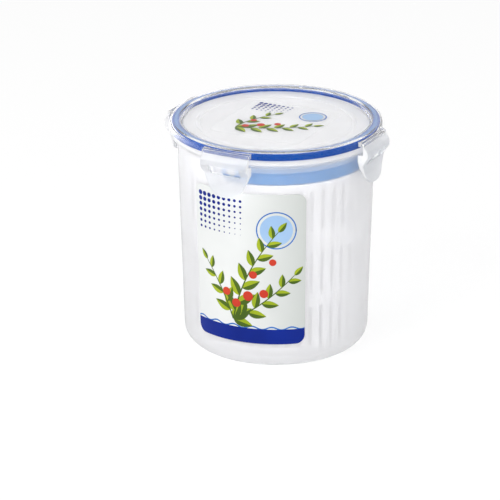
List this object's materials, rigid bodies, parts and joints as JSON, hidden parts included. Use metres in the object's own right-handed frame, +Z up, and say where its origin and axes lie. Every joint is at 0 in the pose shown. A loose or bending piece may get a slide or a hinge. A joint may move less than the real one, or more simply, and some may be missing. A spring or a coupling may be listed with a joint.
{
  "type": "food storage container",
  "caption": "Round translucent food container with a tapered tub, a sealing lid held by hinged latches, and a slotted lift-out draining tray with a swing handle.",
  "frame": {"origin": "on the table, under the middle of the tub's foot ring", "axes": "+Z up along the tub's axis, +X towards the right latch, -Y towards the front latch"},
  "size_m": [0.127, 0.127, 0.132],
  "materials": {
    "tub": "frosted translucent",
    "lid": "frosted translucent",
    "seal": "satin",
    "tray": "milky satin",
    "handle": "satin",
    "label": "printed film"
  },
  "bodies": {
    "container": {"container": "tub", "container_label": "label"},
    "lid": {"lid": "lid", "lid_label": "label", "lid_seal": "seal"},
    "latch_front": {"latch_front": "lid"},
    "latch_right": {"latch_right": "lid"},
    "latch_back": {"latch_back": "lid"},
    "latch_left": {"latch_left": "lid"},
    "tray": {"tray": "tray"},
    "tray_handle": {"tray_handle": "handle"}
  },
  "joints": [
    {"name": "lid_lift", "type": "slide", "parent": "container", "child": "lid", "axis": [0, 0, 1], "range_m": [0, 0.24]},
    {"name": "latch_front_swing", "type": "hinge", "parent": "lid", "child": "latch_front", "pos_m": [0, -0.0605, 0.1294], "axis": [-1, 0, 0], "range_deg": [-3.6, 166]},
    {"name": "latch_right_swing", "type": "hinge", "parent": "lid", "child": "latch_right", "pos_m": [0.0605, 0, 0.1294], "axis": [0, -1, 0], "range_deg": [-3.6, 166]},
    {"name": "latch_back_swing", "type": "hinge", "parent": "lid", "child": "latch_back", "pos_m": [0, 0.0605, 0.1294], "axis": [1, 0, 0], "range_deg": [-3.6, 166]},
    {"name": "latch_left_swing", "type": "hinge", "parent": "lid", "child": "latch_left", "pos_m": [-0.0605, 0, 0.1294], "axis": [0, 1, 0], "range_deg": [-3.6, 166]},
    {"name": "tray_lift", "type": "slide", "parent": "container", "child": "tray", "axis": [0, 0, 1], "range_m": [0, 0.132]},
    {"name": "handle_swing", "type": "hinge", "parent": "tray", "child": "tray_handle", "pos_m": [0, 0, 0.117], "axis": [0, -1, 0], "range_deg": [0, 90]}
  ],
  "couplings": [
    {"joint": "tray_lift", "follows": "lid_lift", "ratio": 0.55},
    {"joint": "handle_swing", "follows": "lid_lift", "rad_per_m": 6.54}
  ]
}
